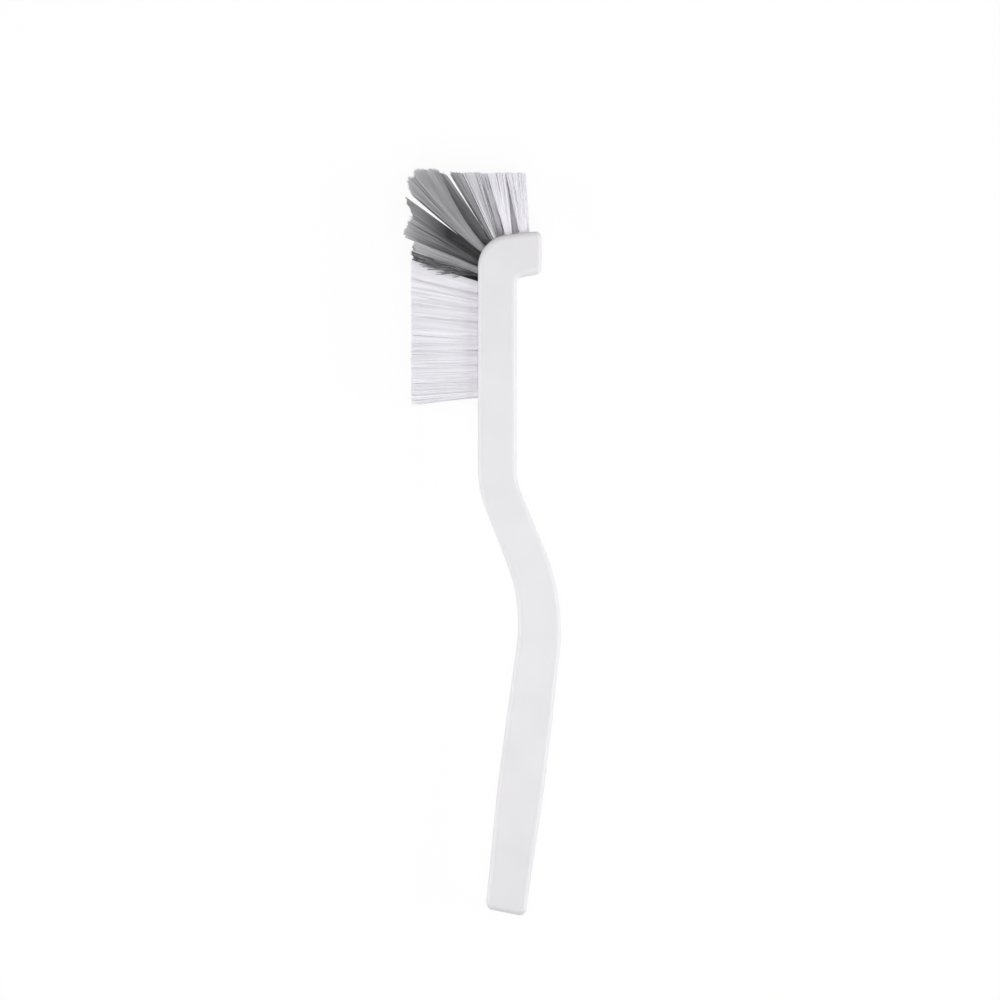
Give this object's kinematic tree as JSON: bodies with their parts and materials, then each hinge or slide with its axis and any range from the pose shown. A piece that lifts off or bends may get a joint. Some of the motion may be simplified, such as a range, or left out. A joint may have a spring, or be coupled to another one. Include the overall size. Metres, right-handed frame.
{
  "type": "long-handled scrub brush",
  "caption": "Scrub brush with a bent one-piece handle, a hooked head and stapled tufts of white and grey bristle fanned round the head's nose.",
  "frame": {"origin": "on the side that the brush lies on, on the neck's centreline, where the straight neck meets the first bend of the grip", "axes": "+X from the bristle tips towards the hook, +Y from the tail towards the head, +Z across the brush, up from the side it lies on"},
  "size_m": [0.0528, 0.2557, 0.018],
  "materials": {
    "handle_plastic": "satin white moulded polypropylene",
    "white_bristle": "white nylon filament",
    "grey_bristle": "dark grey nylon filament",
    "anchor_wire": "flat galvanised wire"
  },
  "bodies": {
    "root": {"handle": "handle_plastic", "white_face_bristles": "white_bristle", "grey_nose_bristles": "grey_bristle", "white_top_bristles": "white_bristle", "white_face_anchor_row1_col1": "anchor_wire", "white_face_anchor_row1_col2": "anchor_wire", "white_face_anchor_row1_col3": "anchor_wire", "white_face_anchor_row2_col1": "anchor_wire", "white_face_anchor_row2_col2": "anchor_wire", "white_face_anchor_row2_col3": "anchor_wire", "white_face_anchor_row3_col1": "anchor_wire", "white_face_anchor_row3_col2": "anchor_wire", "white_face_anchor_row3_col3": "anchor_wire", "white_face_anchor_row4_col1": "anchor_wire", "white_face_anchor_row4_col2": "anchor_wire", "white_face_anchor_row4_col3": "anchor_wire", "white_face_anchor_row5_col1": "anchor_wire", "white_face_anchor_row5_col2": "anchor_wire", "white_face_anchor_row5_col3": "anchor_wire", "white_face_anchor_row6_col1": "anchor_wire", "white_face_anchor_row6_col2": "anchor_wire", "white_face_anchor_row6_col3": "anchor_wire", "white_face_anchor_row7_col1": "anchor_wire", "white_face_anchor_row7_col2": "anchor_wire", "white_face_anchor_row7_col3": "anchor_wire", "white_face_anchor_row8_col1": "anchor_wire", "white_face_anchor_row8_col2": "anchor_wire", "white_face_anchor_row8_col3": "anchor_wire", "grey_nose_anchor_row1_col1": "anchor_wire", "grey_nose_anchor_row1_col2": "anchor_wire", "grey_nose_anchor_row1_col3": "anchor_wire", "grey_nose_anchor_row2_col1": "anchor_wire", "grey_nose_anchor_row2_col2": "anchor_wire", "grey_nose_anchor_row2_col3": "anchor_wire", "grey_nose_anchor_row3_col1": "anchor_wire", "grey_nose_anchor_row3_col2": "anchor_wire", "grey_nose_anchor_row3_col3": "anchor_wire", "grey_nose_anchor_row4_col1": "anchor_wire", "grey_nose_anchor_row4_col2": "anchor_wire", "grey_nose_anchor_row4_col3": "anchor_wire", "white_top_anchor_row1_col1": "anchor_wire", "white_top_anchor_row1_col2": "anchor_wire", "white_top_anchor_row1_col3": "anchor_wire", "white_top_anchor_row2_col1": "anchor_wire", "white_top_anchor_row2_col2": "anchor_wire", "white_top_anchor_row2_col3": "anchor_wire"}
  },
  "joints": []
}
